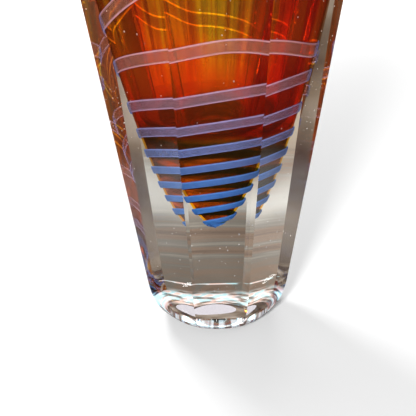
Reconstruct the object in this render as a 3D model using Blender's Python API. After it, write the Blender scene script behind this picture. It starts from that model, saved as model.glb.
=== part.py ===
"""Cased art glass vase: a colour bubble with a spiral thread, inside a crystal jacket cut into eight facets.

Metres, +Z up. The origin is the middle of the foot, on the surface the vase stands on. The front faces -Y.
"""

import math

import bmesh
import bpy
import numpy as np
from mathutils import Matrix, Vector
from mathutils.geometry import interpolate_bezier

# Crystal jacket, outside
HEIGHT = 0.210
FOOT_APOTHEM = 0.0294  # axis to facet, where the facet's plane meets the foot's plane
FLARE = 0.16  # how far a facet leans out for each metre of height
RIM_CHAMFER = 0.0012
# Each hand-cut facet: azimuth from the front in degrees, going round by +X, and how far it is set in
FACETS = (
    (0.5, 0.0024),
    (44.5, 0.0016),
    (90.5, 0.0),
    (142.5, 0.0),
    (180.0, 0.0012),
    (218.0, 0.0005),
    (270.5, 0.0),
    (322.0, 0.0016),
)

# Heel, where the facets curve in and fade into a round foot
HEEL_HEIGHT = 0.022
HEEL_FOOT = 0.018  # the heel curve's apothem on the ground
HEEL_REACH_UP = 0.014  # lengths of the curve's two handles
HEEL_REACH_OUT = 0.007
ROUND_RATIO = 1.06  # the round foot's radius over the apothem
FADE_POWER = 2

# Ground hollow under the foot, and the label stuck to its roof
HOLLOW_RADIUS = 0.0168
HOLLOW_ROOF_RADIUS = 0.0155
HOLLOW_DEPTH = 0.0065
LABEL_RADIUS = 0.0100
LABEL_THICKNESS = 0.0002
LABEL_CENTRE = (-0.0020, 0.0040)

# Colour core: bubble, overlay and thread, blown slightly off the jacket's axis
CORE_CENTRE = (-0.0005, -0.002, 0.0)
CORE_TIP = 0.052
CORE_RIM_RADIUS = 0.052
CORE_POWER = 0.58  # radius grows with this power of the height over the tip
OVERLAY_THICKNESS = 0.001
BUBBLE_WALL = 0.0022
CAVITY_FLOOR = 0.0965
CAVITY_HEEL = 0.009
CAVITY_ROUNDNESS = 2.2  # exponent of the superellipse between the floor and the wall
BUBBLE_CHAMFER = 0.0008

# Thread: its height is START + PITCH * turn + STRETCH * turn ** 5, the last term from the blowing
THREAD_START = 0.0495
THREAD_PITCH = 0.00646
THREAD_STRETCH = 4.08e-7
THREAD_FIRST_TURN = 0.5
THREAD_LAST_TURN = 10.75
THREAD_HALF_WIDTH = 0.00165
THREAD_SPREAD = 0.0014  # half-width gained by turn 9
SPREAD_TURN = 9.0
SPREAD_POWER = 3.3
THREAD_THICKNESS = 0.0008
THREAD_LEAN_RIGHT = 0.08  # the turns lean: this much higher towards +X for each unit of radius
THREAD_LEAN_FRONT = 0.12  # and this much higher towards the front
# The hand-laid thread leaves its rule in the upper turns: (turn, metres higher), smooth between
THREAD_WOBBLE = (
    (8.3, 0.0),
    (9.0, 0.0035),
    (9.25, -0.0075),
    (9.55, -0.004),
    (9.75, 0.001),
    (10.0, 0.013),
    (10.3, 0.016),
)
TIP_CLEARANCE = 0.0006  # the ribbon's lower edge keeps this far from the core's tip

# Solids that are fused on the real vase keep this gap here
GAP = 0.0003

SEGMENTS = 32  # round the axis, and sections in each turn of the thread
MERIDIAN_STEPS = 14
HEEL_STEPS = 8
FACET_STEPS = 4
CUTTER_OVERRUN = 0.006
FINE_STEPS = 1200


def clear_scene():
    for thing in list(bpy.data.objects):
        bpy.data.objects.remove(thing, do_unlink=True)


def finish(name, colour, roughness):
    material = bpy.data.materials.new(name)
    material.use_nodes = True
    shader = material.node_tree.nodes["Principled BSDF"]
    shader.inputs["Base Color"].default_value = (*colour, 1.0)
    shader.inputs["Roughness"].default_value = roughness
    shader.inputs["Metallic"].default_value = 0.0
    material.diffuse_color = (*colour, 1.0)
    return material


def new_object(name, bm, material=None, parent=None):
    bmesh.ops.recalc_face_normals(bm, faces=bm.faces)
    mesh = bpy.data.meshes.new(name)
    bm.to_mesh(mesh)
    bm.free()
    mesh.shade_smooth()
    mesh.set_sharp_from_angle(angle=math.radians(30))
    thing = bpy.data.objects.new(name, mesh)
    bpy.context.collection.objects.link(thing)
    if material:
        mesh.materials.append(material)
    thing.parent = parent
    return thing


def make_cutter(thing):
    thing.hide_render = True
    thing.display_type = "WIRE"
    return thing


def subtract(thing, cutter):
    boolean = thing.modifiers.new(cutter.name, "BOOLEAN")
    boolean.operation = "DIFFERENCE"
    boolean.solver = "EXACT"
    boolean.object = cutter


def lathe(profile):
    """A closed body turned about Z. The profile runs from the axis round to the axis again."""
    bm = bmesh.new()
    rings = []
    for radius, z in profile:
        if radius < 1e-9:
            rings.append([bm.verts.new((0.0, 0.0, z))])
            continue
        angles = [2 * math.pi * step / SEGMENTS for step in range(SEGMENTS)]
        rings.append([bm.verts.new((radius * math.sin(a), -radius * math.cos(a), z)) for a in angles])
    for lower, upper in zip(rings, rings[1:]):
        for step in range(SEGMENTS):
            after = (step + 1) % SEGMENTS
            if len(lower) == 1:
                bm.faces.new((lower[0], upper[after], upper[step]))
            elif len(upper) == 1:
                bm.faces.new((lower[step], lower[after], upper[0]))
            else:
                bm.faces.new((lower[step], lower[after], upper[after], upper[step]))
    return bm


# The core's meridian, from the tip to the rim, as finely sampled arrays


def core_radius(z):
    return CORE_RIM_RADIUS * (max(z - CORE_TIP, 0.0) / (HEIGHT - CORE_TIP)) ** CORE_POWER


def sample_meridian():
    top = HEIGHT + CUTTER_OVERRUN
    heights = CORE_TIP + (top - CORE_TIP) * np.linspace(0.0, 1.0, FINE_STEPS) ** 3
    radii = np.array([core_radius(z) for z in heights])
    lengths = np.concatenate([[0.0], np.cumsum(np.hypot(np.diff(radii), np.diff(heights)))])
    return lengths, radii, heights


LENGTHS, RADII, HEIGHTS = sample_meridian()


def on_core(length, lift):
    """The point (r, z) at this length along the core's surface from its tip, lifted off it by lift."""
    step = LENGTHS[-1] / FINE_STEPS
    after = min(max(length, 0.0) + step, LENGTHS[-1])
    before = max(after - 2 * step, 0.0)
    dr = np.interp(after, LENGTHS, RADII) - np.interp(before, LENGTHS, RADII)
    dz = np.interp(after, LENGTHS, HEIGHTS) - np.interp(before, LENGTHS, HEIGHTS)
    if length <= 0.0:
        dr, dz = 1.0, 0.0
    size = math.hypot(dr, dz)
    radius = np.interp(length, LENGTHS, RADII) + lift * dz / size
    height = np.interp(length, LENGTHS, HEIGHTS) - lift * dr / size
    return float(radius), float(height)


def core_profile(lift, top):
    """Points from the tip to the height top, on the surface that lies lift outside the core's."""
    points = []
    for step in range(MERIDIAN_STEPS * 2):
        length = LENGTHS[-1] * (step / (MERIDIAN_STEPS - 1)) ** 1.6
        radius, height = on_core(length, lift)
        if height >= top or length > LENGTHS[-1]:
            break
        points.append((radius, height))
    points.append((radius_at(top, lift), top))
    return points


def radius_at(z, lift):
    """The radius at height z of the surface that lies lift outside the core's."""
    low, high = 0.0, float(LENGTHS[-1])
    for _ in range(40):
        middle = (low + high) / 2
        if on_core(middle, lift)[1] < z:
            low = middle
        else:
            high = middle
    return on_core(high, lift)[0]


# Crystal jacket


def facet_profile():
    """(apothem, height) of a facet that isn't set in, from the foot round the heel to the rim."""
    foot = Vector((HEEL_FOOT, 0.0))
    shoulder = Vector((FOOT_APOTHEM + FLARE * HEEL_HEIGHT, HEEL_HEIGHT))
    low_handle = foot + Vector((HEEL_REACH_OUT, 0.0))
    high_handle = shoulder - HEEL_REACH_UP * Vector((FLARE, 1.0))
    heel = interpolate_bezier(foot, low_handle, high_handle, shoulder, HEEL_STEPS)
    below_rim = HEIGHT - RIM_CHAMFER
    edge = FOOT_APOTHEM + FLARE * below_rim
    return [tuple(point) for point in heel] + [(edge, below_rim), (edge - RIM_CHAMFER, HEIGHT)]


def corner(apothem, facet, following):
    """Where two neighbouring facets meet, at the height where a facet that isn't set in is this far out."""
    turned, after = math.radians(facet[0]), math.radians(following[0])
    outwards = Matrix(((math.sin(turned), -math.cos(turned)), (math.sin(after), -math.cos(after))))
    return outwards.inverted() @ Vector((apothem - facet[1], apothem - following[1]))


def section(apothem, height):
    """The jacket's outline at one height: eight facets, drawn towards a circle below the shoulder."""
    corners = [corner(apothem, facet, following) for facet, following in zip(FACETS, FACETS[1:] + FACETS[:1])]
    fade = max(1 - height / HEEL_HEIGHT, 0.0) ** FADE_POWER
    points = []
    for start, end in zip(corners[-1:] + corners[:-1], corners):
        for step in range(FACET_STEPS):
            place = start.lerp(end, step / FACET_STEPS)
            place = place.lerp(place.normalized() * ROUND_RATIO * apothem, fade)
            points.append((place.x, place.y, height))
    return points


def faceted_body():
    bm = bmesh.new()
    rings = [[bm.verts.new(point) for point in section(*level)] for level in facet_profile()]
    for lower, upper in zip(rings, rings[1:]):
        for step in range(len(lower)):
            bm.faces.new((lower[step - 1], lower[step], upper[step], upper[step - 1]))
    bm.faces.new(rings[0][::-1])
    bm.faces.new(rings[-1])
    return bm


def hollow_cutter_profile():
    spread = (HOLLOW_RADIUS - HOLLOW_ROOF_RADIUS) / HOLLOW_DEPTH
    mouth = HOLLOW_RADIUS + spread * CUTTER_OVERRUN
    roof = [(HOLLOW_ROOF_RADIUS, HOLLOW_DEPTH), (0.0, HOLLOW_DEPTH)]
    return [(0.0, -CUTTER_OVERRUN), (mouth, -CUTTER_OVERRUN)] + roof


def build_casing(axis):
    casing = new_object("clear_casing", faceted_body(), finish("crystal", (0.93, 0.94, 0.92), 0.03))
    top = HEIGHT + CUTTER_OVERRUN
    hollow = new_object("foot_hollow", lathe(hollow_cutter_profile()))
    core_space = new_object("core_space", lathe(core_profile(GAP, top) + [(0.0, top)]), parent=axis)
    groove = new_object("thread_groove", ribbon(GAP / 2, GAP + THREAD_THICKNESS + GAP, GAP), parent=axis)
    for cutter in (hollow, core_space, groove):
        subtract(casing, make_cutter(cutter))


# Colour core


def build_overlay(axis):
    outer = core_profile(0.0, HEIGHT)
    inner = core_profile(-OVERLAY_THICKNESS, HEIGHT)
    bm = lathe(outer + inner[::-1])
    new_object("red_overlay", bm, finish("red_amber", (0.80, 0.16, 0.03), 0.05), axis)


def cavity_profile(lift):
    """From the rim down the wall, round the heel and in to the middle of the floor."""
    wall_foot = CAVITY_FLOOR + CAVITY_HEEL
    wall = [point for point in core_profile(lift, HEIGHT - BUBBLE_CHAMFER) if point[1] > wall_foot]
    rim = [(wall[-1][0] + BUBBLE_CHAMFER, HEIGHT)]
    heel = []
    for step in range(HEEL_STEPS + 1):
        turned = math.pi / 2 * step / HEEL_STEPS
        height = CAVITY_FLOOR + CAVITY_HEEL * (1 - math.cos(turned) ** (2 / CAVITY_ROUNDNESS))
        radius = radius_at(height, lift) * math.sin(turned) ** (2 / CAVITY_ROUNDNESS)
        heel.append((radius, height))
    return (heel + wall + rim)[::-1]


def build_bubble(axis):
    outer = core_profile(-OVERLAY_THICKNESS - GAP, HEIGHT)
    inner = cavity_profile(-OVERLAY_THICKNESS - GAP - BUBBLE_WALL)
    bm = lathe(outer + inner)
    new_object("amber_bubble", bm, finish("amber", (0.85, 0.42, 0.05), 0.05), axis)


# Thread


def wobble(turn):
    """How much higher than its rule the thread lies at this turn."""
    turns = [point[0] for point in THREAD_WOBBLE]
    index = int(np.clip(np.searchsorted(turns, turn), 1, len(turns) - 1))
    (start, low), (end, high) = THREAD_WOBBLE[index - 1], THREAD_WOBBLE[index]
    share = min(max((turn - start) / (end - start), 0.0), 1.0)
    return low + (high - low) * share * share * (3 - 2 * share)


def thread_centre(turn):
    """How far along the core's surface the ribbon's middle lies at this turn."""
    height = THREAD_START + THREAD_PITCH * turn + THREAD_STRETCH * turn**5 + wobble(turn)
    angle = 2 * math.pi * turn
    lean = THREAD_LEAN_RIGHT * math.sin(angle) + THREAD_LEAN_FRONT * math.cos(angle)
    return float(np.interp(height + core_radius(height) * lean, HEIGHTS, LENGTHS))


def half_width(turn):
    return THREAD_HALF_WIDTH + THREAD_SPREAD * (turn / SPREAD_TURN) ** SPREAD_POWER


def ribbon(inner_lift, outer_lift, margin):
    """The flat trail wound on the core. Margin widens it all round, for the groove that it lies in."""
    bm = bmesh.new()
    steps = round((THREAD_LAST_TURN - THREAD_FIRST_TURN) * SEGMENTS)
    sections = []
    for step in range(steps + 1):
        turn = THREAD_FIRST_TURN + step / SEGMENTS
        overrun = margin * ((step == steps) - (step == 0))
        middle, half = thread_centre(turn), half_width(turn) + margin
        lower = max(middle - half, TIP_CLEARANCE - margin)
        upper = middle + half
        corners = [(lower, inner_lift), (lower, outer_lift), (upper, outer_lift), (upper, inner_lift)]
        section = []
        for length, lift in corners:
            radius, height = on_core(length, lift)
            angle = 2 * math.pi * turn + overrun / radius
            section.append(bm.verts.new((radius * math.sin(angle), -radius * math.cos(angle), height)))
        sections.append(section)
    for before, after in zip(sections, sections[1:]):
        for corner in range(4):
            following = (corner + 1) % 4
            bm.faces.new((before[corner], before[following], after[following], after[corner]))
    bm.faces.new(sections[0][::-1])
    bm.faces.new(sections[-1])
    return bm


def build_thread(axis):
    bm = ribbon(GAP, GAP + THREAD_THICKNESS, 0.0)
    new_object("blue_thread", bm, finish("blue", (0.25, 0.36, 0.72), 0.15), axis)


# Label


def build_label():
    """A round label under the hollow's roof, a little off the middle."""
    upper = HOLLOW_DEPTH - GAP
    lower = upper - LABEL_THICKNESS
    bm = lathe([(0.0, lower), (LABEL_RADIUS, lower), (LABEL_RADIUS, upper), (0.0, upper)])
    label = new_object("base_label", bm, finish("label_paper", (0.90, 0.80, 0.80), 0.7))
    label.location = (*LABEL_CENTRE, 0.0)


def main():
    clear_scene()
    axis = bpy.data.objects.new("core_axis", None)
    axis.location = CORE_CENTRE
    bpy.context.collection.objects.link(axis)
    build_casing(axis)
    build_overlay(axis)
    build_bubble(axis)
    build_thread(axis)
    build_label()


main()
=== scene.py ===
import math
import random

import bmesh
import bpy
import numpy as np
from mathutils import Matrix, Vector
from mathutils.geometry import interpolate_bezier


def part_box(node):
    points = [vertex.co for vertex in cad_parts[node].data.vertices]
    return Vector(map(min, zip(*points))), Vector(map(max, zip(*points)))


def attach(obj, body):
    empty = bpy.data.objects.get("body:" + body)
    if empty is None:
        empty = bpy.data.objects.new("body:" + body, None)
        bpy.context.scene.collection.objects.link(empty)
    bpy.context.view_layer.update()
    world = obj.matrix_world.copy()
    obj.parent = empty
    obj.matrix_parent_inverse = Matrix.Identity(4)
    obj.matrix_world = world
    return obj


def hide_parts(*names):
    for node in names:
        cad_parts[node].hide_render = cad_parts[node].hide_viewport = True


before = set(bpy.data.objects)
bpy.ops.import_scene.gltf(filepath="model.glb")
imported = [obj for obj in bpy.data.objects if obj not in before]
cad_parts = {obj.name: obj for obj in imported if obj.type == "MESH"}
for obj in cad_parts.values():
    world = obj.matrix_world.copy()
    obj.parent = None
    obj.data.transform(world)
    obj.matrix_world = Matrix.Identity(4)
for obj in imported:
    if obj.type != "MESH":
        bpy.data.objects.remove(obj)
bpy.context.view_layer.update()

# The vase as it looks: one optical body of glass with its colour, thread, air seeds and label inside.
# The layers are fused, so where two layers meet the surface only tints the light and doesn't bend it.
# Metres, +Z up, the front faces -Y.

# Jacket, as in the design
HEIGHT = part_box("clear_casing")[1].z
FOOT_APOTHEM = 0.0294
FLARE = 0.16
RIM_CHAMFER = 0.0012
FACETS = (
    (0.5, 0.0024),
    (44.5, 0.0016),
    (90.5, 0.0),
    (142.5, 0.0),
    (180.0, 0.0012),
    (218.0, 0.0005),
    (270.5, 0.0),
    (322.0, 0.0016),
)
HEEL_HEIGHT = 0.022
HEEL_FOOT = 0.018
HEEL_REACH_UP = 0.014
HEEL_REACH_OUT = 0.007
ROUND_RATIO = 1.06
FADE_POWER = 2
FOOT_RADIUS = HEEL_FOOT * ROUND_RATIO
HOLLOW_RADIUS = 0.0168
HOLLOW_ROOF_RADIUS = 0.0155
HOLLOW_DEPTH = 0.0065
LABEL_RADIUS = 0.0100
LABEL_THICKNESS = 0.0002
LABEL_SHIFT = Vector((-0.0020, 0.004, 0.0))

# Core, as in the design
CORE_CENTRE = Vector((-0.0005, -0.002, 0.0))
CORE_TIP = 0.052
CORE_RIM_RADIUS = 0.052
CORE_POWER = 0.58
OVERLAY_THICKNESS = 0.001
BUBBLE_WALL = 0.0022
CAVITY_FLOOR = 0.0965
CAVITY_HEEL = 0.009
CAVITY_ROUNDNESS = 2.2
BUBBLE_CHAMFER = 0.0008
GAP = 0.0003

# Thread, as in the design
THREAD_START = 0.0495
THREAD_PITCH = 0.00646
THREAD_STRETCH = 4.08e-7
THREAD_FIRST_TURN = 0.5
THREAD_LAST_TURN = 10.75
THREAD_HALF_WIDTH = 0.00165
THREAD_SPREAD = 0.0014
SPREAD_TURN = 9.0
SPREAD_POWER = 3.3
THREAD_THICKNESS = 0.0008
THREAD_LEAN_RIGHT = 0.08
THREAD_LEAN_FRONT = 0.12
THREAD_WOBBLE = (
    (8.3, 0.0),
    (9.0, 0.0035),
    (9.25, -0.0075),
    (9.55, -0.004),
    (9.75, 0.001),
    (10.0, 0.013),
    (10.3, 0.016),
)
TIP_CLEARANCE = 0.0006
RIBBON_ACROSS_POWER = 0.45  # with powers of 1 the ribbon's outline is an ellipse, and below 1 it is squarer
RIBBON_LIFT_POWER = 0.75

# Air seeds in the clear glass
SEED_COUNT = 170
SEED_RANDOM = 11
SEED_RADII = (0.00014, 0.00018, 0.00022, 0.00030)
SEED_LENGTHS = (0.9, 1.5)
SEED_LOWEST = 0.012
SEED_BELOW_RIM = 0.01
SEED_OFF_CORE = 0.0025
SEED_OFF_FACET = 0.0045
NARROWEST = 0.97  # how far out the deepest facets are, against a facet without inset
LOW_SEED = 0.03  # below this height, seeds keep clear of the heel as well
SEED_OFF_HEEL = 0.008
SEED_CROWDING = 0.8  # below 1, more seeds lie near the facets

# Optics
GLASS_IOR = 1.52
FUSED_GAP = 0.00003  # between surfaces of layers that are fused, so that they don't coincide
STUCK = 0.00004  # how far the label's upper face is inside the glass
WHITE = (1.0, 1.0, 1.0)
# The core's yellow rim below is a painted glint along its silhouette: its colour, and where it begins and
# is full
RIM_GLINT_YELLOW = (1.0, 0.88, 0.20)
SILHOUETTE = (0.80, 0.97)  # from 0 face-on to 1 edge-on, where the core's yellow rim begins and is full

# Painted light in the heel, emitted glints, with the heights between which they fade in or out
PAINTED_GLINTS_BEGIN = (0.0025, 0.0050)
PAINTED_GLINTS_END = (0.0110, 0.0070)
BARS_END = (0.0062, 0.0055)
DASH_HEIGHT = 0.0140
DASH_REACH = 0.0005  # half the height of the line of dashes
DASH_CORE = 0.0002  # half the height of its brightest part
HOLLOW_MARGIN = 0.0006  # the arcs keep this clear of the hollow

# Where the thread's look changes, in turns
MAUVE_FROM = 2.0
DROWNED_FROM = (5.5, 6.5)
# From these turns on, the thread's edges behind the core get a painted glow
EDGE_GLOW_FROM = (9.2, 9.4)

# Fineness
HOLLOW_AROUND = 128
CORE_AROUND = 192
MERIDIAN_STEPS = 96
MERIDIAN_CROWDING = 1.6  # above 1, the core's rings lie closer together near its tip
HEEL_STEPS = 40
FACET_STEPS = 12
CAVITY_STEPS = 24
THREAD_AROUND = 96
RIBBON_CORNERS = 16
LABEL_AROUND = 96
FINE_STEPS = 4000
FINE_CROWDING = 3
FINE_MARGIN = 0.006  # how far the fine points of the core's curve run on above the rim
HALVINGS = 40
ON_AXIS = 1e-9
SHARP_ANGLE = math.radians(12)

# Material slots: two of the jacket's, and one of both shells of the core
JOINT_SLOT = 1
SEED_SLOT = 2
RIM_SLOT = 1

# Stage
FLOOR_REACH = 4.0
FLOOR_DROP = 0.0002  # below the foot, so that they don't coincide

# The camera stands over the front and looks down at the lower part of the vase
CAMERA_TARGET = Vector((-0.0039, 0.0, 0.0531))
CAMERA_DISTANCE = 0.45
CAMERA_ELEVATION = math.radians(22.0)
CAMERA_ROLL = math.radians(-1.25)
CAMERA_LENS = 82.4
CAMERA_SENSOR = 36.0
CAMERA_CLIP = (0.01, 50.0)


# Node helpers


class Nodes:
    """A small wrapper that makes nodes, sets their inputs and links them in one call."""

    def __init__(self, tree):
        self.tree = tree
        tree.nodes.clear()

    def add(self, kind, inputs=(), output=0, **settings):
        node = self.tree.nodes.new(kind)
        for key, value in settings.items():
            setattr(node, key, value)
        for key, value in dict(inputs).items():
            self.fill(node.inputs[key], value)
        return node.outputs[output]

    def fill(self, socket, value):
        if isinstance(value, bpy.types.NodeSocket):
            self.tree.links.new(value, socket)
        elif socket.type == "RGBA":
            socket.default_value = (*value, 1.0)
        else:
            socket.default_value = value

    def math(self, operation, first, second=0.0, clamp=False):
        return self.add("ShaderNodeMath", {0: first, 1: second}, operation=operation, use_clamp=clamp)

    def times(self, first, *others):
        for other in others:
            first = self.math("MULTIPLY", first, other)
        return first

    def plus(self, first, *others):
        for other in others:
            first = self.math("ADD", first, other)
        return first

    def absolute(self, value):
        return self.math("ABSOLUTE", value)

    def mix(self, factor, first, second, blend="MIX"):
        node = self.tree.nodes.new("ShaderNodeMix")
        node.data_type = "RGBA"
        node.blend_type = blend
        for key, value in (("Factor_Float", factor), ("A_Color", first), ("B_Color", second)):
            self.fill(next(s for s in node.inputs if s.identifier == key), value)
        return next(s for s in node.outputs if s.identifier == "Result_Color")

    def ramp(self, factor, stops):
        node = self.tree.nodes.new("ShaderNodeValToRGB")
        self.tree.links.new(factor, node.inputs[0])
        elements = node.color_ramp.elements
        while len(elements) < len(stops):
            elements.new(0.5)
        for element, (place, colour) in zip(elements, stops):
            element.position = place
            element.color = (*colour, 1.0)
        return node.outputs[0]

    def smooth(self, value, low, high, to_low=0.0, to_high=1.0):
        """Eases from to_low to to_high as the value goes from low to high; low may be the larger one."""
        return self.add(
            "ShaderNodeMapRange",
            {0: value, 1: low, 2: high, 3: to_low, 4: to_high},
            interpolation_type="SMOOTHSTEP",
        )

    def vector(self, x, y, z=0.0):
        return self.add("ShaderNodeCombineXYZ", {0: x, 1: y, 2: z})

    def split(self, vector):
        """The x, y and z of a vector."""
        node = self.tree.nodes.new("ShaderNodeSeparateXYZ")
        self.tree.links.new(vector, node.inputs[0])
        return tuple(node.outputs)

    def place(self):
        """The point in metres: every piece's object sits at the origin."""
        return self.add("ShaderNodeTexCoord", output="Object")

    def ray(self, fact):
        """What the ray that reaches this point is, or has been through."""
        return self.tree.nodes.new("ShaderNodeLightPath").outputs[fact]

    def reflected(self, most=1.0):
        """0 for a ray that wasn't reflected yet, and most for one that was."""
        return self.smooth(self.ray("Glossy Depth"), 0.0, 1.0, 0.0, most)

    def noise(self, place, scale, detail, **more):
        return self.add("ShaderNodeTexNoise", {"Vector": place, "Scale": scale, "Detail": detail, **more})

    def noise_along(self, value, scale, detail):
        inputs = {"W": value, "Scale": scale, "Detail": detail}
        return self.add("ShaderNodeTexNoise", inputs, noise_dimensions="1D")

    def shader(self, kind, colour):
        return self.add("ShaderNodeBsdf" + kind, {"Color": colour})

    def blend(self, factor, first, second):
        return self.add("ShaderNodeMixShader", {0: factor, 1: first, 2: second})

    def surface(self, shader, kind="ShaderNodeOutputMaterial"):
        node = self.tree.nodes.new(kind)
        self.tree.links.new(shader, node.inputs["Surface"])


def grey(level):
    return (level, level, level)


def new_material(name):
    material = bpy.data.materials.new(name)
    material.use_nodes = True
    return material, Nodes(material.node_tree)


def round_core(nodes):
    """A point's turn round the core's axis, from the front towards +X, its height and its place."""
    place = nodes.place()
    x, y, height = nodes.split(place)
    across = nodes.math("SUBTRACT", x, CORE_CENTRE.x)
    deep = nodes.math("SUBTRACT", y, CORE_CENTRE.y)
    turn = nodes.math("DIVIDE", nodes.math("ARCTAN2", across, nodes.times(deep, -1.0)), 2 * math.pi)
    return turn, height, place


def grazing(nodes, low, high):
    """From 0 to 1 towards the silhouette."""
    facing = nodes.add("ShaderNodeLayerWeight", {"Blend": 0.5}, output="Facing")
    return nodes.smooth(facing, low, high)


# Materials


def see_through_for_light(nodes, shader, shade):
    """Lamps shine through the surface with this tint, unbent, so that what is inside is lit evenly."""
    clear = nodes.shader("Transparent", shade)
    scattered = nodes.blend(nodes.ray("Is Diffuse Ray"), shader, clear)
    return nodes.blend(nodes.ray("Is Shadow Ray"), scattered, clear)


def painted_heel_glints(nodes, place, from_inside):
    """Painted light in the heel: an emission that stands in for light caught there and split into colours,
    seen only through the glass.

    Arcs and a line of dashes run round the heel, and upright bars round the foot and the hollow's wall.
    """
    x, y, height = nodes.split(place)
    from_back = nodes.math("ARCTAN2", x, y)
    arcs = nodes.noise(nodes.vector(nodes.times(from_back, 1.8), nodes.times(height, 460.0)), 1.0, 2.0)
    hue_place = nodes.vector(nodes.times(from_back, 5.0), nodes.times(height, 600.0), 5.0)
    hue = nodes.ramp(
        nodes.noise(hue_place, 1.0, 1.0),
        [
            (0.36, (1.0, 0.70, 0.62)),
            (0.43, (1.0, 0.92, 0.95)),
            (0.48, (1.0, 1.0, 1.0)),
            (0.58, (0.55, 0.92, 1.0)),
        ],
    )
    band = nodes.times(
        nodes.smooth(height, *PAINTED_GLINTS_BEGIN),
        nodes.smooth(height, *PAINTED_GLINTS_END),
        nodes.smooth(arcs, 0.38, 0.52, 0.05, 1.2),
        nodes.smooth(nodes.absolute(from_back), 0.4, 1.1, 0.95, 2.4),
    )
    from_dashes = nodes.absolute(nodes.math("SUBTRACT", height, DASH_HEIGHT))
    dashes = nodes.times(
        nodes.smooth(from_dashes, DASH_REACH, DASH_CORE),
        nodes.smooth(arcs, 0.49, 0.54, 0.0, 0.8),
    )
    seen = nodes.times(from_inside, nodes.smooth(nodes.ray("Glossy Depth"), 1.0, 0.0))
    radius_squared = nodes.plus(nodes.math("POWER", x, 2.0), nodes.math("POWER", y, 2.0))
    outside_hollow = nodes.math("GREATER_THAN", radius_squared, (HOLLOW_RADIUS + HOLLOW_MARGIN) ** 2)
    heel = nodes.times(nodes.plus(band, dashes), seen, outside_hollow)
    bars = nodes.noise_along(from_back, 5.0, 1.0)
    foot = nodes.times(
        nodes.smooth(height, *BARS_END),
        nodes.smooth(bars, 0.40, 0.58, 0.05, 0.80),
        nodes.math("LESS_THAN", radius_squared, FOOT_RADIUS**2),
        seen,
    )
    hue = nodes.mix(nodes.math("GREATER_THAN", foot, heel), hue, (0.72, 0.90, 1.0))
    return nodes.add("ShaderNodeEmission", {"Color": hue, "Strength": nodes.math("MAXIMUM", heel, foot)})


def polished_glass(name, tint, ripple, shadow):
    """A surface between glass and air, polished but not quite even. Its shadow outside is this dark."""
    material, nodes = new_material(name)
    place = nodes.place()
    waves = nodes.noise(place, 55.0, 1.0)
    bump = nodes.add("ShaderNodeBump", {"Strength": ripple, "Distance": 0.0004, "Height": waves})
    glass = nodes.add(
        "ShaderNodeBsdfGlass",
        {"Color": tint, "Roughness": 0.0, "IOR": GLASS_IOR, "Normal": bump},
    )
    from_inside = nodes.add("ShaderNodeNewGeometry", output="Backfacing")
    shade = nodes.mix(from_inside, grey(shadow), grey(0.95))
    # Painted glints round the heel and foot, an emission seen from inside the glass
    painted_glint = painted_heel_glints(nodes, place, from_inside)
    glass = nodes.add("ShaderNodeAddShader", {0: glass, 1: painted_glint})
    nodes.surface(see_through_for_light(nodes, glass, shade))
    return material


def air_seed():
    """A tiny air bubble with a painted glint: part of its shell is white and translucent, so it shows as a
    white dot.
    """
    material, nodes = new_material("air_seeds")
    vary = nodes.noise(nodes.place(), 90.0, 0.0)
    # The white translucent share is the painted glint
    painted_glint = nodes.shader("Translucent", (1.0, 0.96, 0.92))
    clear = nodes.shader("Transparent", WHITE)
    shader = nodes.blend(nodes.smooth(vary, 0.35, 0.6, 0.15, 0.7), clear, painted_glint)
    nodes.surface(see_through_for_light(nodes, shader, WHITE))
    return material


def clear_joint():
    """Where the jacket is fused to the core: nothing shows."""
    material, nodes = new_material("crystal_joint")
    nodes.surface(nodes.shader("Transparent", WHITE))
    return material


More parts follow.
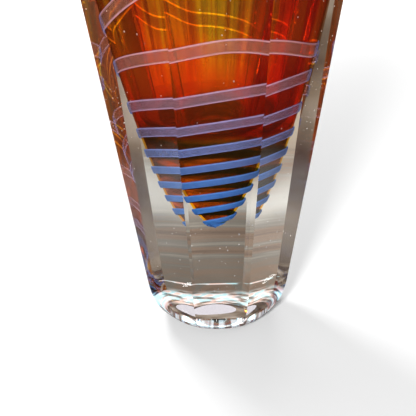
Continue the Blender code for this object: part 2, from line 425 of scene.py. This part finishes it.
def overlay_colour():
    """Red, orange and gold streaks, pulled upwards as the bubble was blown, and a blue dab on the tip."""
    material, nodes = new_material("red_amber_streaks")
    turn, height, place = round_core(nodes)
    level = nodes.math("SUBTRACT", height, CAVITY_FLOOR)
    from_front = nodes.absolute(turn)
    bend = nodes.noise(place, 22.0, 2.0)
    wide = nodes.vector(nodes.times(turn, 11.0), nodes.times(height, 6.0), bend)
    streaks = nodes.noise(wide, 1.4, 3.0, Roughness=0.5)
    # The streaks begin a little above the cavity's floor, and lower down at the back
    streaked = nodes.plus(level, nodes.times(nodes.smooth(from_front, 0.20, 0.30), 0.022))
    streaks = nodes.mix(nodes.smooth(streaked, 0.0155, 0.0535, 0.15, 1.0), grey(0.5), streaks)
    # Redder low down and at the right, golden at the back and round the solid tip
    behind = nodes.smooth(from_front, 0.25, 0.42, 0.0, 0.16)
    high = nodes.smooth(level, 0.0015, 0.0535, -0.16, 0.0)
    right = nodes.times(nodes.smooth(turn, 0.03, 0.12, 0.0, -0.14), nodes.smooth(turn, 0.32, 0.22))
    low = nodes.smooth(level, 0.0045, -0.0035, 0.0, 0.6)
    colour = nodes.ramp(
        nodes.plus(streaks, behind, high, right, low),
        [
            (0.28, (0.78, 0.06, 0.02)),
            (0.40, (0.92, 0.21, 0.02)),
            (0.50, (0.95, 0.38, 0.03)),
            (0.64, (0.84, 0.55, 0.04)),
            (0.74, (0.56, 0.50, 0.04)),
            (0.88, (0.96, 0.60, 0.06)),
        ],
    )
    # Fine streaks: brown ones all round, and bright ones at the back
    narrow = nodes.vector(nodes.times(turn, 62.0), nodes.times(height, 9.0), bend)
    fine = nodes.noise(narrow, 1.0, 2.0)
    brown = nodes.times(nodes.smooth(fine, 0.47, 0.36, 0.0, 0.8), nodes.smooth(streaked, 0.0285, 0.0485))
    colour = nodes.mix(brown, colour, (0.55, 0.17, 0.02))
    bright = nodes.times(
        nodes.smooth(fine, 0.55, 0.61),
        nodes.smooth(streaked, 0.0315, 0.0485),
        nodes.smooth(from_front, 0.28, 0.38),
    )
    colour = nodes.mix(bright, colour, (1.0, 0.90, 0.35))
    # Towards the silhouette, a painted yellow glint round the solid tip, and brown round the cavity
    yellow = nodes.times(grazing(nodes, *SILHOUETTE), nodes.smooth(level, 0.0035, -0.0065))
    colour = nodes.mix(yellow, colour, RIM_GLINT_YELLOW)
    deep = nodes.times(grazing(nodes, 0.50, 0.92), nodes.smooth(level, -0.0045, 0.0075, 0.0, 0.85))
    colour = nodes.mix(deep, colour, (0.46, 0.17, 0.02))
    # Seen in reflections, a pale brown replaces the colour: a painted reflection
    colour = nodes.mix(nodes.reflected(0.65), colour, (0.72, 0.54, 0.40))
    tinted = nodes.shader("Transparent", colour)
    glow = nodes.shader("Translucent", colour)
    shader = nodes.blend(nodes.smooth(level, -0.0035, 0.0085, 0.02, 0.10), tinted, glow)
    over_tip = nodes.smooth(height, CORE_TIP + 0.0030, CORE_TIP + 0.0024)
    shader = nodes.blend(over_tip, shader, nodes.shader("Diffuse", (0.05, 0.16, 0.46)))
    nodes.surface(see_through_for_light(nodes, shader, (0.80, 0.78, 0.78)))
    return material


def amber_colour():
    """Amber, clear and layered in the solid tip, murky under the cavity and thin in the wall above."""
    material, nodes = new_material("amber_depth")
    turn, height, place = round_core(nodes)
    level = nodes.math("SUBTRACT", height, CAVITY_FLOOR)
    cloud = nodes.noise(place, 60.0, 3.0)
    cloudy = nodes.plus(level, nodes.times(nodes.math("SUBTRACT", cloud, 0.5), 0.008))
    colour = nodes.ramp(
        nodes.smooth(cloudy, -0.0365, 0.0285),
        [
            (0.0, (0.94, 0.54, 0.06)),
            (0.35, (0.88, 0.50, 0.06)),
            (0.55, (0.66, 0.46, 0.05)),
            (0.75, (0.90, 0.52, 0.10)),
            (1.0, (0.99, 0.80, 0.35)),
        ],
    )
    flat = nodes.add("ShaderNodeMapping", {"Vector": place, "Scale": (26.0, 26.0, 210.0)})
    layers = nodes.noise(flat, 1.0, 4.0)
    solid = nodes.smooth(level, 0.0075, -0.0025)
    dark = nodes.times(nodes.smooth(layers, 0.61, 0.47), solid, 0.9)
    colour = nodes.mix(dark, colour, (0.26, 0.15, 0.04))
    # Towards the silhouette of the solid tip, a painted yellow glint
    colour = nodes.mix(nodes.times(grazing(nodes, *SILHOUETTE), solid), colour, RIM_GLINT_YELLOW)
    tinted = nodes.shader("Transparent", colour)
    # Painted glow: orange patches behind the lower part of the cavity, standing in for light that falls
    # into the vase and scatters there
    glow_patches = nodes.noise(place, 48.0, 4.0, Distortion=1.2)
    painted_glow_share = nodes.times(
        nodes.smooth(level, 0.0025, 0.0095),
        nodes.smooth(level, 0.0535, 0.0215),
        nodes.smooth(nodes.absolute(turn), 0.20, 0.34),
        nodes.smooth(glow_patches, 0.35, 0.65, 0.05, 0.35),
    )
    orange = (1.0, 0.24, 0.012)
    glow = nodes.blend(0.5, nodes.shader("Diffuse", orange), nodes.shader("Translucent", orange))
    shader = nodes.blend(painted_glow_share, tinted, glow)
    nodes.surface(see_through_for_light(nodes, shader, (0.88, 0.86, 0.85)))
    return material


def thread_colour():
    """Milky blue where the ribbon is thick. Where it is stretched, mauve and clearer, with pale edges."""
    material, nodes = new_material("blue_thread_glass")
    turn, across, _ = nodes.split(nodes.add("ShaderNodeUVMap", uv_map="ribbon"))
    off_middle = nodes.absolute(nodes.math("SUBTRACT", nodes.times(across, 2.0), 1.0))
    edge = nodes.smooth(off_middle, 0.66, 0.92)
    past_blue = nodes.math("SUBTRACT", turn, MAUVE_FROM)
    stretched = nodes.math("DIVIDE", past_blue, SPREAD_TURN - MAUVE_FROM, clamp=True)
    side_on = grazing(nodes, 0.72, 0.95)
    body = nodes.ramp(
        stretched,
        [
            (0.0, (0.045, 0.18, 0.50)),
            (0.35, (0.07, 0.18, 0.46)),
            (0.6, (0.16, 0.18, 0.37)),
            (0.85, (0.35, 0.20, 0.23)),
            (1.0, (0.52, 0.22, 0.11)),
        ],
    )
    line = nodes.ramp(
        stretched,
        [
            (0.0, (0.08, 0.26, 0.68)),
            (0.35, (0.12, 0.27, 0.66)),
            (0.6, (0.27, 0.32, 0.64)),
            (0.85, (0.50, 0.34, 0.48)),
            (1.0, (0.66, 0.36, 0.38)),
        ],
    )
    grain = nodes.noise(nodes.place(), 260.0, 3.0)
    colour = nodes.mix(edge, body, line)
    colour = nodes.mix(nodes.smooth(grain, 0.2, 0.8, 0.0, 0.2), colour, (0.20, 0.32, 0.68))
    colour = nodes.mix(side_on, colour, (0.08, 0.20, 0.56))
    milky = nodes.blend(0.45, nodes.shader("Diffuse", colour), nodes.shader("Translucent", colour))
    clear = nodes.shader("Transparent", (0.95, 0.88, 0.86))
    thin = nodes.ramp(
        stretched,
        [(0.0, grey(0.95)), (0.45, grey(0.66)), (0.72, grey(0.34)), (1.0, grey(0.20))],
    )
    cover = nodes.mix(edge, thin, grey(0.85))
    cover = nodes.mix(side_on, cover, grey(0.95))
    # A ray that has crossed four fused surfaces is behind the core. There the colour drowns the thread's
    # upper turns, and the edges of the last ones get a painted glow, an emission
    behind = nodes.smooth(nodes.ray("Transparent Depth"), 3.0, 4.0)
    cover = nodes.mix(nodes.times(behind, nodes.smooth(turn, *DROWNED_FROM)), cover, grey(0.05))
    cover = nodes.mix(nodes.reflected(0.5), cover, grey(0.0))
    shader = nodes.blend(cover, clear, milky)
    glowing = nodes.times(behind, edge, nodes.smooth(turn, *EDGE_GLOW_FROM))
    painted_edge_glow = nodes.add("ShaderNodeEmission", {"Color": (0.72, 0.95, 0.15), "Strength": glowing})
    nodes.surface(nodes.add("ShaderNodeAddShader", {0: shader, 1: painted_edge_glow}))
    return material


def paper():
    """Blank matt paper with a fine fibre."""
    material, nodes = new_material("label_paper")
    fibre = nodes.noise(nodes.place(), 900.0, 4.0)
    colour = nodes.ramp(fibre, [(0.3, (0.60, 0.57, 0.61)), (0.7, (0.71, 0.67, 0.71))])
    bump = nodes.add("ShaderNodeBump", {"Strength": 0.2, "Distance": 0.0001, "Height": fibre})
    inputs = {"Base Color": colour, "Roughness": 0.75, "Normal": bump}
    nodes.surface(nodes.add("ShaderNodeBsdfPrincipled", inputs))
    return material


# Shapes


def core_radius(z):
    """The radius of the core's outer surface at this height."""
    return CORE_RIM_RADIUS * np.clip((z - CORE_TIP) / (HEIGHT - CORE_TIP), 0.0, None) ** CORE_POWER


def sample_meridian():
    """Fine points of the core's curve: their lengths along it from the tip, radii and heights."""
    shares = np.linspace(0.0, 1.0, FINE_STEPS) ** FINE_CROWDING
    heights = CORE_TIP + (HEIGHT + FINE_MARGIN - CORE_TIP) * shares
    radii = core_radius(heights)
    lengths = np.concatenate([[0.0], np.cumsum(np.hypot(np.diff(radii), np.diff(heights)))])
    return lengths, radii, heights


LENGTHS, RADII, HEIGHTS = sample_meridian()


def on_core(length, lift):
    """The point (r, z) at this length along the core's surface from its tip, lifted off it by lift."""
    step = LENGTHS[-1] / FINE_STEPS
    after = min(max(length, 0.0) + step, LENGTHS[-1])
    before = max(after - 2 * step, 0.0)
    dr = np.interp(after, LENGTHS, RADII) - np.interp(before, LENGTHS, RADII)
    dz = np.interp(after, LENGTHS, HEIGHTS) - np.interp(before, LENGTHS, HEIGHTS)
    if length <= 0.0:
        dr, dz = 1.0, 0.0
    size = math.hypot(dr, dz)
    radius = np.interp(length, LENGTHS, RADII) + lift * dz / size
    height = np.interp(length, LENGTHS, HEIGHTS) - lift * dr / size
    return float(radius), float(height)


def radius_at(z, lift):
    """The radius at this height of the surface that is lifted off the core by lift."""
    low, high = 0.0, float(LENGTHS[-1])
    for _ in range(HALVINGS):
        middle = (low + high) / 2
        if on_core(middle, lift)[1] < z:
            low = middle
        else:
            high = middle
    return on_core(high, lift)[0]


def core_profile(lift, top):
    """(r, z) points of the surface that is lifted off the core by lift, from its tip to the height top."""
    points = []
    for step in range(MERIDIAN_STEPS):
        length = LENGTHS[-1] * (step / (MERIDIAN_STEPS - 1)) ** MERIDIAN_CROWDING
        radius, height = on_core(length, lift)
        if height >= top:
            break
        points.append((radius, height))
    points.append((radius_at(top, lift), top))
    return points


def add_lathe(bm, profile, segments, centre, material=0):
    """Turns a profile of (r, z) points about the vertical line through centre, and returns its rings."""
    rings = []
    for radius, z in profile:
        if radius < ON_AXIS:
            rings.append([bm.verts.new((centre.x, centre.y, z))])
            continue
        angles = [2 * math.pi * step / segments for step in range(segments)]
        ring = [(centre.x + radius * math.sin(a), centre.y - radius * math.cos(a), z) for a in angles]
        rings.append([bm.verts.new(place) for place in ring])
    for lower, upper in zip(rings, rings[1:]):
        for step in range(segments):
            after = (step + 1) % segments
            if len(lower) == 1:
                corners = (lower[0], upper[after], upper[step])
            elif len(upper) == 1:
                corners = (lower[step], lower[after], upper[0])
            else:
                corners = (lower[step], lower[after], upper[after], upper[step])
            bm.faces.new(corners).material_index = material
    return rings


def to_object(name, bm, materials):
    mesh = bpy.data.meshes.new(name)
    bm.to_mesh(mesh)
    bm.free()
    for material in materials:
        mesh.materials.append(material)
    thing = bpy.data.objects.new(name, mesh)
    bpy.context.scene.collection.objects.link(thing)
    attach(thing, "root")
    return thing


def facet_profile():
    """(apothem, height) of a facet without inset, from the foot round the heel to the rim."""
    foot = Vector((HEEL_FOOT, 0.0))
    shoulder = Vector((FOOT_APOTHEM + FLARE * HEEL_HEIGHT, HEEL_HEIGHT))
    low_handle = foot + Vector((HEEL_REACH_OUT, 0.0))
    high_handle = shoulder - HEEL_REACH_UP * Vector((FLARE, 1.0))
    heel = interpolate_bezier(foot, low_handle, high_handle, shoulder, HEEL_STEPS)
    below_rim = HEIGHT - RIM_CHAMFER
    edge = FOOT_APOTHEM + FLARE * below_rim
    return [tuple(point) for point in heel] + [(edge, below_rim), (edge - RIM_CHAMFER, HEIGHT)]


def corner(apothem, facet, following):
    """Where two neighbouring facets meet, at the height where a facet without inset is this far out."""
    turned, after = math.radians(facet[0]), math.radians(following[0])
    outwards = Matrix(((math.sin(turned), -math.cos(turned)), (math.sin(after), -math.cos(after))))
    return outwards.inverted() @ Vector((apothem - facet[1], apothem - following[1]))


def section(apothem, height):
    """The jacket's outline at one height: eight straight facets, drawn towards a circle in the heel."""
    neighbours = zip(FACETS, FACETS[1:] + FACETS[:1])
    corners = [corner(apothem, facet, following) for facet, following in neighbours]
    fade = max(1 - height / HEEL_HEIGHT, 0.0) ** FADE_POWER
    points = []
    for start, end in zip(corners[-1:] + corners[:-1], corners):
        for step in range(FACET_STEPS):
            place = start.lerp(end, step / FACET_STEPS)
            place = place.lerp(place.normalized() * ROUND_RATIO * apothem, fade)
            points.append((place.x, place.y, height))
    return points


def add_facets(bm):
    """The facets, from the foot to the rim. Returns the edges round the foot and round the rim."""
    rings = [[bm.verts.new(point) for point in section(*level)] for level in facet_profile()]
    for lower, upper in zip(rings, rings[1:]):
        for step in range(len(lower)):
            bm.faces.new((lower[step - 1], lower[step], upper[step], upper[step - 1])).smooth = True
    bm.normal_update()
    for edge in bm.edges:
        edge.smooth = edge.calc_face_angle(0.0) < SHARP_ANGLE
    foot, rim = loop_edges(bm, rings[0]), loop_edges(bm, rings[-1])
    for edge in foot + rim:
        edge.smooth = False
    return foot, rim


def loop_edges(bm, ring):
    """The edges of a closed ring of vertices."""
    return [bm.edges.get(pair) for pair in zip(ring, ring[1:] + ring[:1])]


def add_seeds(bm):
    """Tiny air bubbles in the clear glass: closed shells whose faces look into the air."""
    pick = random.Random(SEED_RANDOM)
    made = 0
    while made < SEED_COUNT:
        z = pick.uniform(SEED_LOWEST, HEIGHT - SEED_BELOW_RIM)
        angle = pick.uniform(0.0, 2 * math.pi)
        inner = float(core_radius(z)) + SEED_OFF_CORE
        outer = (FOOT_APOTHEM + FLARE * z) * NARROWEST - SEED_OFF_FACET
        if z < LOW_SEED:
            outer -= SEED_OFF_HEEL
        r = inner + (outer - inner) * pick.random() ** SEED_CROWDING
        size = pick.choice(SEED_RADII)
        if r > outer or r < 0:
            continue
        centre = Vector((r * math.sin(angle), -r * math.cos(angle), z))
        stretch = Matrix.Diagonal((size, size, size * pick.uniform(*SEED_LENGTHS), 1.0))
        placed = Matrix.Translation(centre) @ stretch
        shell = bmesh.ops.create_icosphere(bm, subdivisions=2, radius=1.0, matrix=placed)
        faces = {face for vertex in shell["verts"] for face in vertex.link_faces}
        bmesh.ops.reverse_faces(bm, faces=list(faces))
        for face in faces:
            face.smooth = True
            face.material_index = SEED_SLOT
        made += 1


def build_casing(materials):
    """The clear jacket: facets, the hollow under the foot, and the inside that is fused to the core."""
    bm = bmesh.new()
    foot, rim = add_facets(bm)
    roof_profile = [(0.0, HOLLOW_DEPTH), (HOLLOW_ROOF_RADIUS, HOLLOW_DEPTH)]
    roof = add_lathe(bm, roof_profile, HOLLOW_AROUND, Vector())[-1]
    mouth = add_lathe(bm, [(HOLLOW_RADIUS, 0.0)], HOLLOW_AROUND, Vector())[0]
    for step in range(HOLLOW_AROUND):
        bm.faces.new((roof[step - 1], roof[step], mouth[step], mouth[step - 1])).smooth = True
    mouth_edges = loop_edges(bm, mouth)
    bmesh.ops.triangle_fill(bm, edges=foot + mouth_edges, use_beauty=True, normal=(0.0, 0.0, -1.0))
    rings = add_lathe(bm, core_profile(FUSED_GAP, HEIGHT), CORE_AROUND, CORE_CENTRE, JOINT_SLOT)
    inner = loop_edges(bm, rings[-1])
    bmesh.ops.triangle_fill(bm, edges=rim + inner, use_beauty=True, normal=(0.0, 0.0, 1.0))
    bmesh.ops.recalc_face_normals(bm, faces=bm.faces)
    for face in bm.faces:
        if face.material_index == JOINT_SLOT:
            face.smooth = True
    for edge in inner + mouth_edges + loop_edges(bm, roof):
        edge.smooth = False
    add_seeds(bm)
    casing = to_object("crystal_jacket", bm, materials)
    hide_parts("clear_casing")


def close_shell(name, outer, inner, materials, inner_slot):
    """A turned shell: its outer face has the first material, and its inner face the one in inner_slot."""
    bm = bmesh.new()
    outside = add_lathe(bm, outer, CORE_AROUND, CORE_CENTRE)
    inside = add_lathe(bm, inner, CORE_AROUND, CORE_CENTRE, inner_slot)
    for step in range(CORE_AROUND):
        after = (step + 1) % CORE_AROUND
        face = bm.faces.new((outside[-1][step], outside[-1][after], inside[-1][after], inside[-1][step]))
        face.material_index = RIM_SLOT
    bmesh.ops.recalc_face_normals(bm, faces=bm.faces)
    for face in bm.faces:
        face.smooth = True
    for edge in loop_edges(bm, outside[-1]) + loop_edges(bm, inside[-1]):
        edge.smooth = False
    return to_object(name, bm, materials)


def cavity_profile(lift):
    """(r, z) points of the cavity: its rounded floor, its wall and the rim's chamfer."""
    wall_foot = CAVITY_FLOOR + CAVITY_HEEL
    wall = [point for point in core_profile(lift, HEIGHT - BUBBLE_CHAMFER) if point[1] > wall_foot]
    rim = [(wall[-1][0] + BUBBLE_CHAMFER, HEIGHT)]
    heel = []
    for step in range(CAVITY_STEPS + 1):
        turned = math.pi / 2 * step / CAVITY_STEPS
        power = 2 / CAVITY_ROUNDNESS
        height = CAVITY_FLOOR + CAVITY_HEEL * (1 - math.cos(turned) ** power)
        radius = radius_at(height, lift) * math.sin(turned) ** power
        heel.append((radius, height))
    return heel + wall + rim


def build_core(overlay_materials, bubble_materials):
    """The colour coat, which tapers to a point, and the amber bubble inside it."""
    outer = core_profile(0.0, HEIGHT)
    inner = core_profile(-OVERLAY_THICKNESS, HEIGHT)
    overlay = close_shell("red_amber_overlay", outer, inner, overlay_materials, inner_slot=2)
    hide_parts("red_overlay")

    outer = core_profile(-OVERLAY_THICKNESS - FUSED_GAP, HEIGHT)
    inner = cavity_profile(-OVERLAY_THICKNESS - GAP - BUBBLE_WALL)
    bubble = close_shell("amber_core", outer, inner, bubble_materials, inner_slot=1)
    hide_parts("amber_bubble")


def wobble(turn):
    """How much higher than its rule the hand-laid thread lies at this turn."""
    before = THREAD_WOBBLE[0]
    for after in THREAD_WOBBLE:
        if turn < after[0]:
            break
        before = after
    if turn >= after[0] or turn < THREAD_WOBBLE[0][0]:
        return before[1]
    share = (turn - before[0]) / (after[0] - before[0])
    return before[1] + (after[1] - before[1]) * share * share * (3 - 2 * share)


def thread_centre(turn):
    """The length along the core's surface at which the thread's middle lies at this turn."""
    height = THREAD_START + THREAD_PITCH * turn + THREAD_STRETCH * turn**5 + wobble(turn)
    angle = 2 * math.pi * turn
    lean = THREAD_LEAN_RIGHT * math.sin(angle) + THREAD_LEAN_FRONT * math.cos(angle)
    return float(np.interp(height + float(core_radius(height)) * lean, HEIGHTS, LENGTHS))


def half_width(turn):
    return THREAD_HALF_WIDTH + THREAD_SPREAD * (turn / SPREAD_TURN) ** SPREAD_POWER


def ribbon_section():
    """(across, lift) corners of the ribbon, from 0 to 1 each way: flat sides and round edges."""
    outline = []
    for step in range(RIBBON_CORNERS):
        angle = 2 * math.pi * step / RIBBON_CORNERS
        x, y = math.cos(angle), math.sin(angle)
        across = math.copysign(abs(x) ** RIBBON_ACROSS_POWER, x)
        lift = math.copysign(abs(y) ** RIBBON_LIFT_POWER, y)
        outline.append((0.5 + 0.5 * across, 0.5 + 0.5 * lift))
    return outline


def build_thread(material):
    """The blue ribbon, wound up the core. Its UV map holds a point's turn and how far across it is."""
    bm = bmesh.new()
    uv = bm.loops.layers.uv.new("ribbon")
    steps = round((THREAD_LAST_TURN - THREAD_FIRST_TURN) * THREAD_AROUND)
    outline = ribbon_section()
    rings, marks = [], {}
    for step in range(steps + 1):
        turn = THREAD_FIRST_TURN + step / THREAD_AROUND
        angle = 2 * math.pi * turn
        middle, half = thread_centre(turn), half_width(turn)
        lower, upper = max(middle - half, TIP_CLEARANCE), middle + half
        ring = []
        for across, lift in outline:
            length = lower + (upper - lower) * across
            radius, height = on_core(length, GAP / 2 + lift * (THREAD_THICKNESS + GAP / 2))
            x = CORE_CENTRE.x + radius * math.sin(angle)
            y = CORE_CENTRE.y - radius * math.cos(angle)
            vertex = bm.verts.new((x, y, height))
            marks[vertex] = (turn, across)
            ring.append(vertex)
        rings.append(ring)
    for before, after in zip(rings, rings[1:]):
        for step in range(RIBBON_CORNERS):
            following = (step + 1) % RIBBON_CORNERS
            bm.faces.new((before[step], before[following], after[following], after[step]))
    bm.faces.new(rings[0][::-1])
    bm.faces.new(rings[-1])
    bmesh.ops.recalc_face_normals(bm, faces=bm.faces)
    for face in bm.faces:
        face.smooth = len(face.verts) == 4
        for loop in face.loops:
            loop[uv].uv = marks[loop.vert]
    thread = to_object("thread_ribbon", bm, [material])
    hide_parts("blue_thread")


def build_label(material):
    """The label is stuck to the hollow's roof, so its upper face is just inside the glass."""
    bm = bmesh.new()
    upper = HOLLOW_DEPTH + STUCK
    lower = upper - LABEL_THICKNESS
    profile = [(0.0, lower), (LABEL_RADIUS, lower), (LABEL_RADIUS, upper), (0.0, upper)]
    add_lathe(bm, profile, LABEL_AROUND, LABEL_SHIFT)
    bmesh.ops.recalc_face_normals(bm, faces=bm.faces)
    label = to_object("label_dot", bm, [material])
    label.data.shade_smooth()
    label.data.set_sharp_from_angle(angle=SHARP_ANGLE)
    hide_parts("base_label")


# Stage


def floor_colour():
    """Pale and plain to the camera. What the glass bends or mirrors shows it as a wooden table instead."""
    material, nodes = new_material("pale_floor")
    place = nodes.place()
    distance = nodes.add("ShaderNodeVectorMath", {0: place}, output="Value", operation="LENGTH")
    sideways = nodes.absolute(nodes.split(place)[0])
    fill = nodes.add("ShaderNodeEmission", {"Strength": nodes.smooth(distance, 0.4, 1.5, 0.0, 0.6)})
    pale = nodes.add("ShaderNodeAddShader", {0: nodes.shader("Diffuse", grey(0.88)), 1: fill})

    grain_place = nodes.add("ShaderNodeMapping", {"Vector": place, "Scale": (2.2, 26.0, 1.0)})
    grain = nodes.noise(grain_place, 1.0, 5.0, Roughness=0.6)
    wood = nodes.ramp(
        grain,
        [
            (0.32, (0.10, 0.08, 0.07)),
            (0.44, (0.27, 0.19, 0.14)),
            (0.54, (0.22, 0.20, 0.17)),
            (0.68, (0.44, 0.39, 0.33)),
        ],
    )
    straight_ahead = nodes.times(nodes.smooth(distance, 0.25, 0.36), nodes.smooth(sideways, 0.22, 0.12))
    wood = nodes.mix(straight_ahead, wood, (0.62, 0.60, 0.55))
    wood = nodes.mix(nodes.smooth(distance, 0.55, 0.85), wood, (0.34, 0.28, 0.22))

    # Through the coloured core
    through_core = nodes.smooth(nodes.ray("Transparent Depth"), 1.0, 2.0)
    backlight = nodes.ramp(
        distance,
        [
            (0.0, grey(0.07)),
            (0.10, grey(0.15)),
            (0.20, grey(0.62)),
            (0.33, grey(0.70)),
            (0.5, grey(0.31)),
        ],
    )
    wood = nodes.mix(through_core, wood, backlight)

    # In reflections inside the jacket
    wall = nodes.ramp(grain, [(0.3, (0.20, 0.13, 0.09)), (0.7, (0.56, 0.44, 0.34))])
    wall = nodes.mix(through_core, wall, (0.20, 0.16, 0.12))
    wood = nodes.mix(nodes.reflected(), wood, wall)

    # In the polish of the outer surface the floor is a painted shade, dark except near the vase's sides,
    # where it is pale
    beside = nodes.times(nodes.smooth(sideways, 0.05, 0.10), nodes.smooth(distance, 0.20, 0.15))
    polish = nodes.mix(beside, (0.04, 0.035, 0.03), (0.95, 0.93, 0.90))
    wood = nodes.mix(mirrored_outside(nodes), wood, polish)
    seen_in_glass = nodes.shader("Diffuse", wood)
    nodes.surface(nodes.blend(bent_or_mirrored(nodes), pale, seen_in_glass))
    return material


def bent_or_mirrored(nodes):
    """1 for a ray that glass has bent or reflected."""
    return nodes.math("MAXIMUM", nodes.ray("Is Transmission Ray"), nodes.ray("Is Glossy Ray"))


def mirrored_outside(nodes):
    """1 for a ray that never went into the glass."""
    return nodes.math("SUBTRACT", 1.0, nodes.ray("Is Transmission Ray"))


def build_floor():
    mesh = bpy.data.meshes.new("floor")
    ends = (-FLOOR_REACH, FLOOR_REACH)
    corners = [(x, y, -FLOOR_DROP) for x in ends for y in ends]
    mesh.from_pydata(corners, [], [(0, 2, 3, 1)])
    mesh.materials.append(floor_colour())
    floor = bpy.data.objects.new("floor", mesh)
    bpy.context.scene.collection.objects.link(floor)


def build_world():
    """Plain studio light, and a brownish room in what the glass bends or reflects."""
    world = bpy.data.worlds.new("studio")
    world.use_nodes = True
    nodes = Nodes(world.node_tree)
    direction = nodes.add("ShaderNodeTexCoord", output="Generated")
    x, y, z = nodes.split(direction)
    room = nodes.ramp(
        nodes.smooth(z, -0.2, 1.0),
        [
            (0.0, (0.28, 0.19, 0.13)),
            (0.35, (0.24, 0.17, 0.13)),
            (0.7, (0.42, 0.42, 0.42)),
            (1.0, (1.0, 0.99, 0.97)),
        ],
    )
    uprights = nodes.noise_along(nodes.math("ARCTAN2", x, y), 3.5, 2.0)
    room = nodes.mix(1.0, room, nodes.smooth(uprights, 0.42, 0.60, 0.45, 1.5), "MULTIPLY")
    blurred = nodes.ramp(
        nodes.noise(direction, 7.0, 3.0),
        [(0.36, (0.08, 0.05, 0.04)), (0.5, (0.26, 0.20, 0.15)), (0.64, (0.60, 0.50, 0.42))],
    )
    room = nodes.mix(nodes.reflected(), room, blurred)
    room = nodes.mix(mirrored_outside(nodes), room, (0.05, 0.045, 0.04))
    plain = nodes.mix(nodes.ray("Is Camera Ray"), grey(0.16), grey(0.95))
    colour = nodes.mix(bent_or_mirrored(nodes), plain, room)
    background = nodes.add("ShaderNodeBackground", {"Color": colour, "Strength": 1.0})
    nodes.surface(background, "ShaderNodeOutputWorld")
    bpy.context.scene.world = world


def area_light(name, place, target, size, power, mirrored=False):
    light = bpy.data.lights.new(name, "AREA")
    light.shape = "SQUARE"
    light.size = size
    light.energy = power
    lamp = bpy.data.objects.new(name, light)
    lamp.location = place
    lamp.rotation_euler = (Vector(target) - Vector(place)).to_track_quat("-Z", "Y").to_euler()
    lamp.visible_camera = False
    lamp.visible_glossy = lamp.visible_transmission = mirrored
    bpy.context.scene.collection.objects.link(lamp)


def build_lights():
    area_light("key", (-0.22, -1.05, 0.56), (0.0, 0.0, 0.09), size=0.14, power=19.0, mirrored=True)
    area_light("back", (-0.65, 1.05, 1.15), (0.0, 0.3, 0.0), size=0.55, power=20.0)
    area_light("far", (0.2, 2.0, 0.9), (0.0, 1.2, 0.0), size=0.8, power=16.0)


def build_camera():
    """Over the front, looking down at the lower part of the vase."""
    data = bpy.data.cameras.new("camera")
    data.lens = CAMERA_LENS
    data.sensor_width = CAMERA_SENSOR
    data.clip_start, data.clip_end = CAMERA_CLIP
    camera = bpy.data.objects.new("camera", data)
    back = Vector((0.0, -math.cos(CAMERA_ELEVATION), math.sin(CAMERA_ELEVATION)))
    level_up = Vector((0.0, math.sin(CAMERA_ELEVATION), math.cos(CAMERA_ELEVATION)))
    level_right = Vector((1.0, 0.0, 0.0))
    right = level_right * math.cos(CAMERA_ROLL) + level_up * math.sin(CAMERA_ROLL)
    up = level_up * math.cos(CAMERA_ROLL) - level_right * math.sin(CAMERA_ROLL)
    turned = Matrix((right, up, back)).transposed()
    camera.matrix_world = Matrix.Translation(CAMERA_TARGET + back * CAMERA_DISTANCE) @ turned.to_4x4()
    bpy.context.scene.collection.objects.link(camera)
    bpy.context.scene.camera = camera


def set_light_paths():
    """Enough bounces for light to get through the jacket, the thread and both walls of the core."""
    scene = bpy.context.scene
    scene.view_settings.view_transform = "Standard"
    cycles = scene.cycles
    cycles.max_bounces = 24
    cycles.transmission_bounces = 20
    cycles.glossy_bounces = 12
    cycles.diffuse_bounces = 3
    cycles.transparent_max_bounces = 40
    cycles.caustics_reflective = False
    cycles.caustics_refractive = False
    cycles.use_denoising = True


def main():
    build_camera()
    crystal = polished_glass("crystal_polished", (0.985, 0.985, 0.98), ripple=0.0, shadow=0.16)
    amber_wall = polished_glass("amber_fire_polished", (0.99, 0.97, 0.93), ripple=0.05, shadow=0.90)
    joint = clear_joint()
    build_casing([crystal, joint, air_seed()])
    build_core([overlay_colour(), amber_wall, joint], [amber_colour(), amber_wall])
    build_thread(thread_colour())
    build_label(paper())
    build_floor()
    build_world()
    build_lights()
    set_light_paths()


main()
